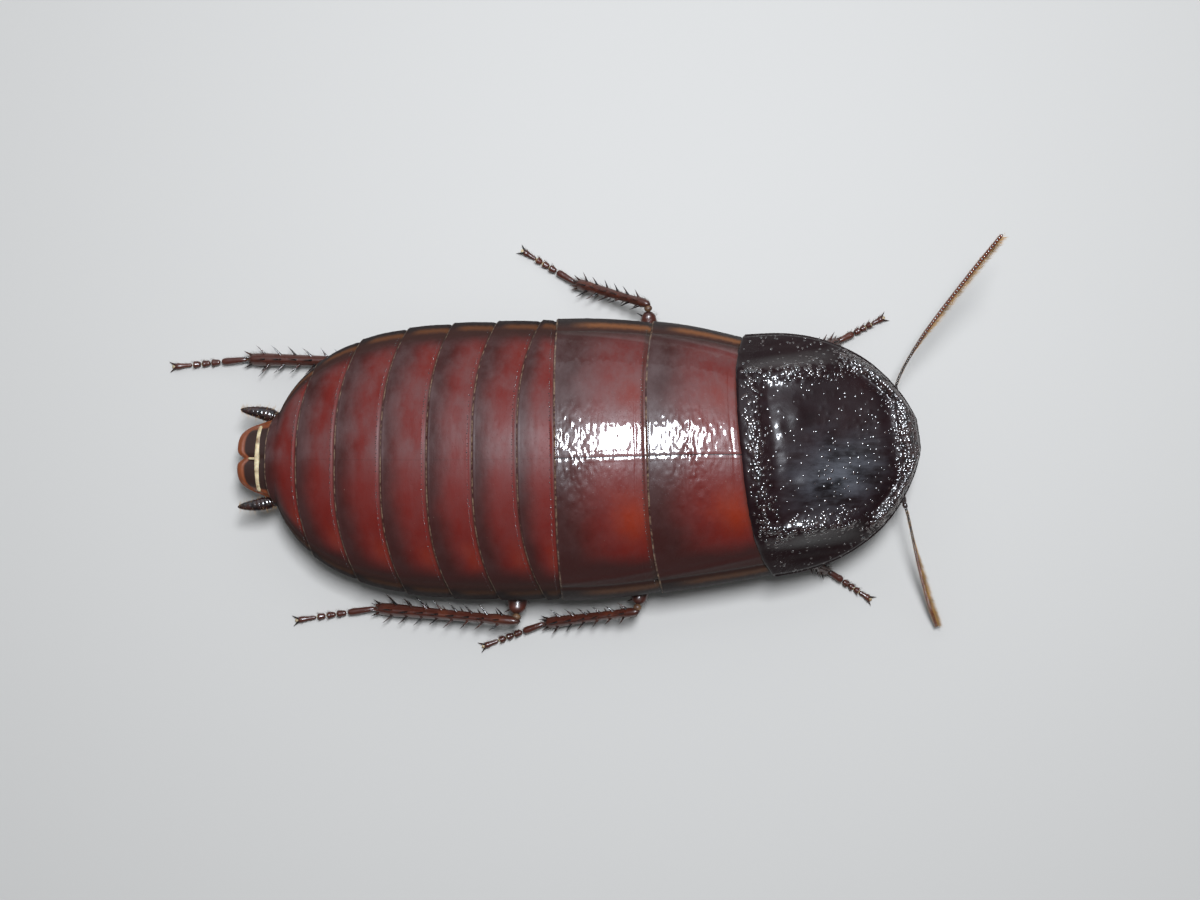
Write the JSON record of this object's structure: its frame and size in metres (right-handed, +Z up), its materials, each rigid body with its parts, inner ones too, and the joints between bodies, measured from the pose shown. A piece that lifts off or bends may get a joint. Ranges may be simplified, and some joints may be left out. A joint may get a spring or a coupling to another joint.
{
  "type": "madagascar hissing cockroach",
  "caption": "Life-size still model of an adult Madagascar hissing cockroach, standing, with plated back, dark domed shield over the head, spined legs and long antennae.",
  "frame": {"origin": "on the floor, under the middle of the box round the whole model", "axes": "+X towards the head, +Y towards the animal's left side, +Z up"},
  "size_m": [0.0932, 0.048, 0.0219],
  "materials": {
    "shield": "black glossy pitted shell",
    "back": "dark red glossy shell, darker at each hind edge",
    "belly": "dark red-brown satin shell",
    "tail_plate": "brown shell with an orange rim",
    "head": "black to brown glossy shell",
    "eye": "near-black, finely faceted",
    "mouth": "brown satin shell",
    "antenna": "ringed orange-brown with fine bristles",
    "leg": "dark red-brown glossy shell with spines",
    "membrane": "pale matte soft skin"
  },
  "bodies": {
    "root": {"antenna_left_base": "antenna", "antenna_left_root": "antenna", "antenna_left_tip": "antenna", "antenna_right_base": "antenna", "antenna_right_root": "antenna", "antenna_right_tip": "antenna", "cercus_left": "mouth", "cercus_right": "mouth", "eye_left": "eye", "eye_right": "eye", "front_left_coxa": "leg", "front_left_femur": "leg", "front_left_tarsus": "leg", "front_left_tibia": "leg", "front_right_coxa": "leg", "front_right_femur": "leg", "front_right_tarsus": "leg", "front_right_tibia": "leg", "head": "head", "hind_left_coxa": "leg", "hind_left_femur": "leg", "hind_left_tarsus": "leg", "hind_left_tibia": "leg", "hind_right_coxa": "leg", "hind_right_femur": "leg", "hind_right_tarsus": "leg", "hind_right_tibia": "leg", "labium": "mouth", "labrum": "mouth", "mesonotum": "back", "mesothorax": "belly", "metanotum": "back", "metathorax": "belly", "middle_left_coxa": "leg", "middle_left_femur": "leg", "middle_left_tarsus": "leg", "middle_left_tibia": "leg", "middle_right_coxa": "leg", "middle_right_femur": "leg", "middle_right_tarsus": "leg", "middle_right_tibia": "leg", "neck": "membrane", "palp_left": "mouth", "palp_right": "mouth", "pronotum": "shield", "prothorax": "belly", "sternite_2": "belly", "sternite_3": "belly", "sternite_4": "belly", "sternite_5": "belly", "sternite_6": "belly", "sternite_7": "belly", "supra_anal_plate": "tail_plate", "tergite_1": "back", "tergite_2": "back", "tergite_3": "back", "tergite_4": "back", "tergite_5": "back", "tergite_6": "back", "tergite_7": "back"}
  },
  "joints": []
}
